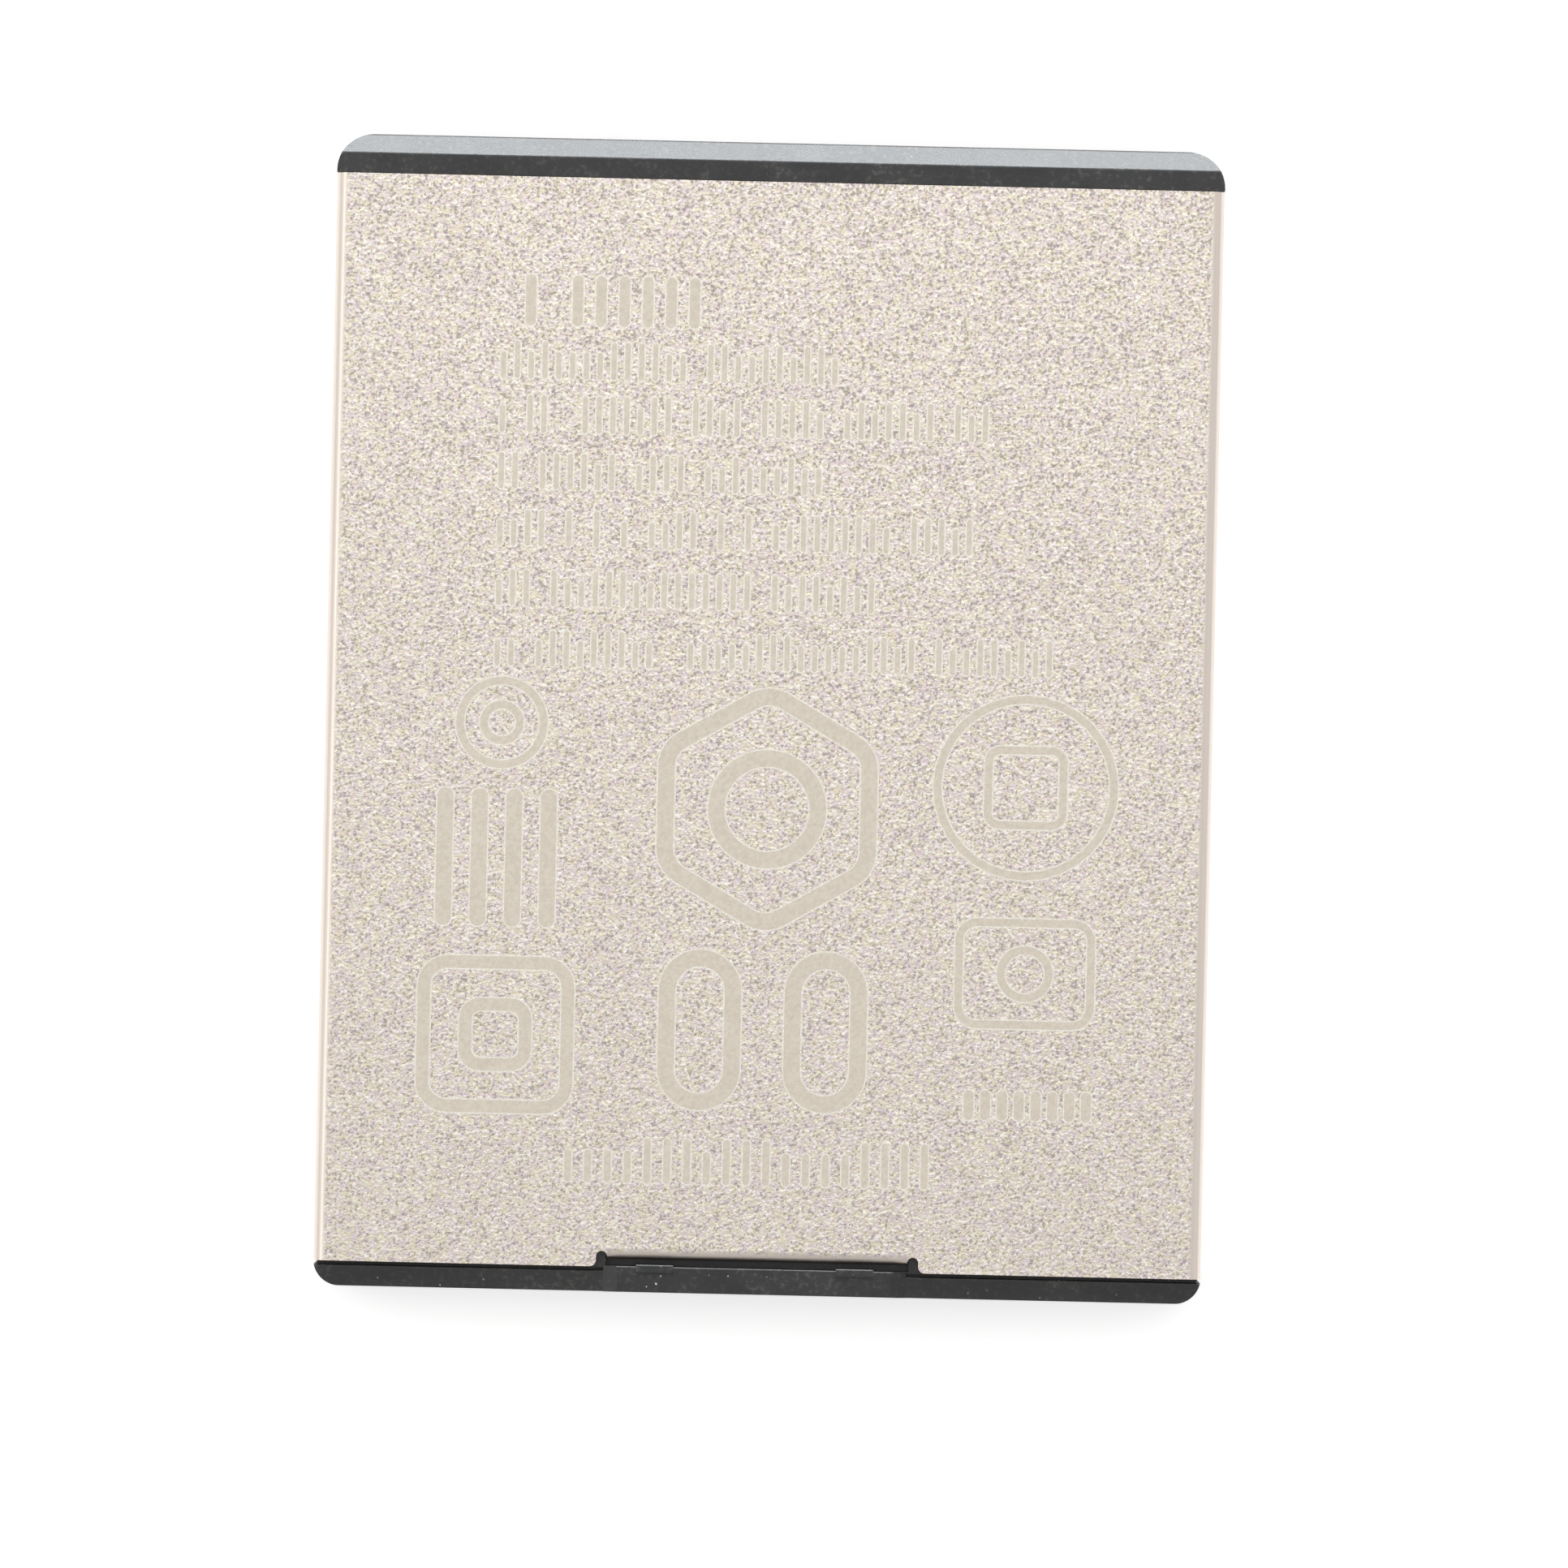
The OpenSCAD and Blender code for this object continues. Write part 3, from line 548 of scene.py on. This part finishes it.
def markRowTree():
    # A row of upright strokes with round ends, some short and some missing, flared towards the top
    tree = bpy.data.node_groups.new("mark_row", "GeometryNodeTree")
    sockets = treeInputs(tree, markInputs)
    nodes = Nodes(tree)
    start = treeStart(nodes, markInputs)
    add = nodes.add
    count = (start["Length"] / start["Pitch"]).whole()
    step = add("ShaderNodeCombineXYZ", None, {"X": start["Pitch"]})
    line = add("GeometryNodeMeshLine", None,
               {"Count": count, "Start Location": start["Start"], "Offset": step})
    gap = add("FunctionNodeRandomValue", {"data_type": "BOOLEAN"},
              {"Probability": start["Gap Chance"], "Seed": start["Seed"]}, 3)
    kept = add("GeometryNodeDeleteGeometry", {"domain": "POINT"}, {"Geometry": line, "Selection": gap})
    short = add("FunctionNodeRandomValue", {"data_type": "BOOLEAN"},
                {"Probability": start["Short Chance"], "Seed": start["Seed"] + 7}, 3)
    middle = add("GeometryNodeInputPosition")
    stored = add("GeometryNodeStoreNamedAttribute", {"data_type": "FLOAT_VECTOR", "domain": "POINT"},
                 {"Geometry": kept, "Name": "middle", "Value": middle})
    stored = add("GeometryNodeStoreNamedAttribute", {"data_type": "FLOAT", "domain": "POINT"},
                 {"Geometry": stored, "Name": "short", "Value": short})
    sides = engraving["strokeSides"]
    peg = add("GeometryNodeMeshCylinder", None, {"Vertices": sides, "Radius": 1.0, "Depth": 2.0})
    peg = add("GeometryNodeTransform", None, {"Geometry": peg, "Rotation": (0.0, 0.0, math.pi / sides)})
    corner = add("GeometryNodeInputPosition")
    peg = add("GeometryNodeStoreNamedAttribute", {"data_type": "FLOAT_VECTOR", "domain": "POINT"},
              {"Geometry": peg, "Name": "corner", "Value": corner})
    pegs = add("GeometryNodeInstanceOnPoints", None, {"Points": stored, "Instance": peg})
    pegs = add("GeometryNodeRealizeInstances", None, {"Geometry": pegs})
    corner = add("GeometryNodeInputNamedAttribute", {"data_type": "FLOAT_VECTOR"}, {"Name": "corner"})
    middle = add("GeometryNodeInputNamedAttribute", {"data_type": "FLOAT_VECTOR"}, {"Name": "middle"})
    isShort = add("GeometryNodeInputNamedAttribute", {"data_type": "FLOAT"}, {"Name": "short"})
    x, y, z = nodes.parts(corner)
    reach = 0.5 * start["Stroke"] + start["Slope"] * (z + 1.0)
    tall = start["Tall"] * (1.0 - engraving["shortening"] * isShort)
    upper = 2.0 * (y > 0.0) - 1.0
    lowered = 0.5 * engraving["shortening"] * isShort * start["Tall"]
    along = y * reach + upper * 0.5 * (tall - start["Stroke"]) - lowered
    offset = add("ShaderNodeCombineXYZ", None, {"X": x * reach, "Y": along, "Z": z * start["Depth"]})
    where = add("ShaderNodeVectorMath", {"operation": "ADD"}, {0: middle, 1: offset})
    shaped = add("GeometryNodeSetPosition", None, {"Geometry": pegs, "Position": where})
    add("NodeGroupOutput", None, {"Geometry": paintedCutter(nodes, start, shaped)})
    return tree, sockets


bandInputs = {
    "Stroke": float, "Depth": float, "Slope": float,
    "Floor Finish": bpy.types.Material, "Rim Finish": bpy.types.Material,
}


def bandTree():
    # A flared groove cutter swept along each closed outline
    tree = bpy.data.node_groups.new("mark_band", "GeometryNodeTree")
    sockets = treeInputs(tree, bandInputs)
    nodes = Nodes(tree)
    start = treeStart(nodes, bandInputs)
    profile = nodes.add("GeometryNodeCurvePrimitiveQuadrilateral", {"mode": "TRAPEZOID"}, {
        "Height": 2.0 * start["Depth"], "Bottom Width": start["Stroke"] + 4.0 * start["Slope"],
        "Top Width": start["Stroke"], "Offset": 0.0,
    })
    level = nodes.add("GeometryNodeSetCurveNormal", {"mode": "Z_UP"}, {"Curve": start["Geometry"]})
    band = nodes.add("GeometryNodeCurveToMesh", None, {"Curve": level, "Profile Curve": profile})
    nodes.add("NodeGroupOutput", None, {"Geometry": paintedCutter(nodes, start, band)})
    return tree, sockets


def cutterFrom(piece, made, settings):
    # Runs a tree on a piece and returns its plain mesh
    tree, sockets = made
    modifier = piece.modifiers.new("cutter", "NODES")
    modifier.node_group = tree
    for name, value in settings.items():
        modifier[sockets[name]] = value
    mesh = evaluatedMesh(piece)
    bpy.data.objects.remove(piece)
    return mesh


def pegOutline(pegs, radius, stepAngle=math.radians(11.25)):
    # The line that a belt round these pegs follows, one peg giving a circle
    points = []
    for index, peg in enumerate(pegs):
        before = Vector(peg) - Vector(pegs[index - 1])
        after = Vector(pegs[(index + 1) % len(pegs)]) - Vector(peg)
        arriving = math.atan2(before.y, before.x)
        turn = (math.atan2(after.y, after.x) - arriving) % (2 * math.pi) or 2 * math.pi
        steps = max(2, round(turn / stepAngle))
        for step in range(steps + (len(pegs) > 1)):
            angle = arriving - math.pi / 2 + turn * step / steps
            points.append((peg[0] + radius * math.cos(angle), peg[1] + radius * math.sin(angle)))
    return points


def ringPegs(x, y, radius, sides, turn=0.0):
    # Pegs on a circle, anticlockwise
    angles = [math.radians(turn) + 2 * math.pi * side / sides for side in range(sides)]
    return [(x + radius * math.cos(angle), y + radius * math.sin(angle)) for angle in angles]


def boxPegs(x, y, width, height):
    return [(x - width / 2, y - height / 2), (x + width / 2, y - height / 2),
            (x + width / 2, y + height / 2), (x - width / 2, y + height / 2)]


# The plate's figures, by their stroke: the pegs of each outline, and the pegs' radius
figures = {
    0.26: [
        ([(-8.9, -0.3)], 1.4),
        ([(-8.9, -0.3)], 0.6),
        ([(8.6, -2.1)], 2.95),
        (ringPegs(8.6, -2.1, 1.2, 4, 45), 0.4),
        (boxPegs(8.7, -8.3, 3.2, 2.2), 0.6),
        ([(8.7, -8.3)], 0.8),
    ],
    0.55: [
        (ringPegs(0.0, -3.0, 2.75, 6, 30), 1.0),
        ([(0.0, -3.0)], 1.7),
        ([(-2.1, -11.7), (-2.1, -9.1)], 1.1),
        ([(2.1, -11.7), (2.1, -9.1)], 1.1),
    ],
    0.42: [
        (boxPegs(-8.9, -10.7, 3.2, 3.2), 0.8),
        (boxPegs(-8.9, -10.7, 1.0, 1.0), 0.5),
    ],
}


def outlineCurves(name, outlines, height):
    # The closed lines of these outlines, at this height
    curve = bpy.data.curves.new(name, "CURVE")
    curve.dimensions = "3D"
    for pegs, radius in outlines:
        outline = pegOutline(pegs, radius)
        spline = curve.splines.new("POLY")
        spline.points.add(len(outline) - 1)
        spline.use_cyclic_u = True
        for point, (x, y) in zip(spline.points, outline):
            point.co = (x, y, height, 1.0)
    return newPiece(name, curve)


def engravingCutter(top):
    # All the marks of the rear cover in one cutter
    cut = engraving
    common = {"Depth": cut["depth"], "Slope": cut["slope"], "Floor Finish": etchFloor, "Rim Finish": etchRimHighlight}
    rowTree = markRowTree()
    meshes = []
    for seed, row in enumerate(cut["rows"], cut["firstSeed"]):
        left, middle, length, tall, stroke, pitch, gaps, shorts = row
        settings = {
            "Start": (left + stroke / 2, middle, top), "Length": length, "Pitch": pitch, "Tall": tall,
            "Stroke": stroke, "Gap Chance": gaps, "Short Chance": shorts, "Seed": seed, **common,
        }
        meshes.append(cutterFrom(newPiece("row", bpy.data.meshes.new("row")), rowTree, settings))
    grooveTree = bandTree()
    for stroke, outlines in figures.items():
        bands = outlineCurves("bands", outlines, top)
        meshes.append(cutterFrom(bands, grooveTree, {"Stroke": stroke, **common}))
    return joined("engraving_cutter", meshes)


def joined(name, meshes):
    # One object with all these meshes and their materials
    pieces = [newPiece(name, mesh) for mesh in meshes]
    bpy.ops.object.select_all(action="DESELECT")
    for piece in pieces:
        piece.select_set(True)
    bpy.context.view_layer.objects.active = pieces[0]
    bpy.ops.object.join()
    return pieces[0]


sheetWork = {
    "edgeRadius": 0.025,
    "edgeSegments": 2,
    "edgeAngle": 60.0,
    "smoothAngle": 35.0,
    "flatAngle": 0.3,
    "mergeDistance": 0.0002,
}


def mergedCopy(node, name):
    # A CAD node's loose triangles as whole faces, in millimetres
    work = sheetWork
    mesh = bpy.data.meshes.new(name)
    edit = bmesh.new()
    edit.from_mesh(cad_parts[node].data)
    bmesh.ops.scale(edit, vec=Vector((1, 1, 1)) / millimetre, verts=edit.verts)
    bmesh.ops.remove_doubles(edit, verts=edit.verts, dist=work["mergeDistance"])
    flat = math.radians(work["flatAngle"])
    bmesh.ops.dissolve_limit(edit, angle_limit=flat, verts=edit.verts, edges=edit.edges)
    edit.to_mesh(mesh)
    edit.free()
    return newPiece(name, mesh)


def finishedPiece(piece, name, slot, *nodes):
    # Shrinks the worked mesh to metres, shades it and hands it to the frame
    mesh = evaluatedMesh(piece)
    bpy.data.objects.remove(piece)
    mesh.transform(Matrix.Scale(millimetre, 4))
    done = newPiece(name, mesh)
    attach(done, "root")
    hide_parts(*nodes)
    return done


def pressedSheet(node, name, cutter=None):
    # A stamped cover: its sheared edges are eased, its marks cut, and its shading kept flat on the flat
    piece = mergedCopy(node, name + "_work")
    piece.data.materials.clear()
    piece.data.materials.append(coverMetal)
    bevel = piece.modifiers.new("eased_edges", "BEVEL")
    bevel.width = sheetWork["edgeRadius"]
    bevel.segments = sheetWork["edgeSegments"]
    bevel.limit_method = "ANGLE"
    bevel.angle_limit = math.radians(sheetWork["edgeAngle"])
    bevel.use_clamp_overlap = True
    if cutter:
        cut = piece.modifiers.new("marks", "BOOLEAN")
        cut.object = cutter
        cut.operation = "DIFFERENCE"
        cut.solver = "EXACT"
        cut.material_mode = "TRANSFER"
    shaded = newPiece(name + "_shaded", evaluatedMesh(piece))
    bpy.data.objects.remove(piece)
    mesh = shaded.data
    mesh.shade_smooth()
    mesh.set_sharp_from_angle(angle=math.radians(sheetWork["smoothAngle"]))
    weighted = shaded.modifiers.new("weighted", "WEIGHTED_NORMAL")
    weighted.keep_sharp = True
    weighted.weight = 100
    return finishedPiece(shaded, name, "cover_metal", node)


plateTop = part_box("rear_cover")[1].z / millimetre
cutter = engravingCutter(plateTop)
rearCover = pressedSheet("rear_cover", "rear_cover_sheet", cutter)
bpy.data.objects.remove(cutter)
frontCover = pressedSheet("front_cover", "front_cover_sheet")
print("covers pressed:", len(rearCover.data.polygons), "and", len(frontCover.data.polygons), "faces")

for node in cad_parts.values():
    for slot in node.material_slots:
        if slot.material and slot.material.name in nodeFinishes:
            slot.material = nodeFinishes[slot.material.name]
print("nodes finished")

studio = {
    "floorSize": 4.0,
    "floorDrop": 0.01,
    "floorColour": colour(249, 249, 249),
    "floorGlow": 0.46,
    "zenith": 0.66,
    "horizon": 0.5,
    # Each light's place, width and height, watts and colour, in metres, aimed at the card's middle
    "lights": {
        "overhead_softbox": ((0.03, 0.21, 0.5), (0.4, 0.4), 0.375, (1.0, 0.985, 0.96)),
        "back_softbox": ((0.0, 0.42, 0.085), (0.5, 0.14), 5.1, (0.93, 0.97, 1.0)),
        "front_softbox": ((0.0, -0.4, 0.2), (0.5, 0.24), 0.2, (1.0, 1.0, 1.0)),
        "left_strip": ((-0.3, 0.03, 0.4), (0.4, 0.1), 0.2, (1.0, 0.99, 0.97)),
        "left_softbox": ((-0.42, 0.03, 0.22), (0.5, 0.4), 0.22, (1.0, 0.99, 0.97)),
        "right_softbox": ((0.42, 0.0, 0.22), (0.5, 0.4), 0.14, (0.98, 0.99, 1.0)),
    },
    # These lights reach the black moulding only: the metal and the floor would glare with them
    "narrow": ("back_softbox", "front_softbox"),
}


def softLight(name, place, size, power, tint):
    light = bpy.data.lights.new(name, "AREA")
    light.shape = "RECTANGLE"
    light.size, light.size_y = size
    light.energy = power
    light.color = tint
    lamp = newPiece(name, light)
    lamp.location = place
    lamp.rotation_mode = "QUATERNION"
    lamp.rotation_quaternion = (-Vector(place)).to_track_quat("-Z", "Y")
    lamp.visible_camera = False
    return lamp


def studioFloor():
    mesh = bpy.data.meshes.new("floor")
    half = studio["floorSize"] / 2
    height = cadBox[0].z - studio["floorDrop"] * millimetre
    corners = [(-half, -half, height), (half, -half, height), (half, half, height), (-half, half, height)]
    mesh.from_pydata(corners, [], [(0, 1, 2, 3)])
    mesh.materials.append(surface("pale_floor", lambda nodes: {
        "Base Color": studio["floorColour"], "Roughness": 0.5,
        "Emission Color": studio["floorColour"], "Emission Strength": studio["floorGlow"],
        "Specular IOR Level": 0.0,
    }))
    floor = newPiece("floor", mesh)


def studioSky():
    # A soft grey surround, a little lighter overhead
    world = bpy.data.worlds.new("studio")
    world.use_nodes = True
    world.node_tree.nodes.clear()
    sky = Nodes(world.node_tree)
    upward = sky.parts(sky.add("ShaderNodeTexCoord", output="Generated"))[2].rise(0.0, 0.9)
    glow = studio["horizon"] + (studio["zenith"] - studio["horizon"]) * upward
    background = sky.add("ShaderNodeBackground", None, {"Color": (1.0, 1.0, 1.0, 1.0), "Strength": glow})
    sky.add("ShaderNodeOutputWorld", None, {"Surface": background})
    bpy.context.scene.world = world


studioFloor()
studioSky()
moulding = bpy.data.collections.new("moulding")
moulding.objects.link(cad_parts["frame"])
for lightName, light in studio["lights"].items():
    lamp = softLight(lightName, *light)
    if lightName in studio["narrow"]:
        lamp.light_linking.receiver_collection = moulding
bpy.context.scene.view_settings.view_transform = "Standard"

photograph = {
    "side": 1932,
    "pixelsPerMillimetre": 36.98,
    "cardMiddle": (947.7, 886.3),
    "cardTurn": 1.28,
    "lens": 200.0,
    "sensor": 36.0,
    "nearest": 0.01,
}


def photographCamera():
    # Straight above the plate, turned and moved so that the card lies where the photograph shows it
    shot = photograph
    width = shot["side"] / shot["pixelsPerMillimetre"] * millimetre
    above = width * shot["lens"] / shot["sensor"]
    turn = math.radians(shot["cardTurn"])
    right = (shot["side"] / 2 - shot["cardMiddle"][0]) / shot["pixelsPerMillimetre"] * millimetre
    up = (shot["cardMiddle"][1] - shot["side"] / 2) / shot["pixelsPerMillimetre"] * millimetre
    middle = (cadBox[0] + cadBox[1]) / 2
    data = bpy.data.cameras.new("camera")
    data.lens = shot["lens"]
    data.sensor_width = shot["sensor"]
    data.clip_start = shot["nearest"]
    camera = newPiece("camera", data)
    camera.location = (
        middle.x + right * math.cos(turn) - up * math.sin(turn),
        middle.y + right * math.sin(turn) + up * math.cos(turn),
        cadBox[1].z + above,
    )
    camera.rotation_euler = (0.0, 0.0, turn)
    bpy.context.scene.camera = camera


photographCamera()
print("studio set")
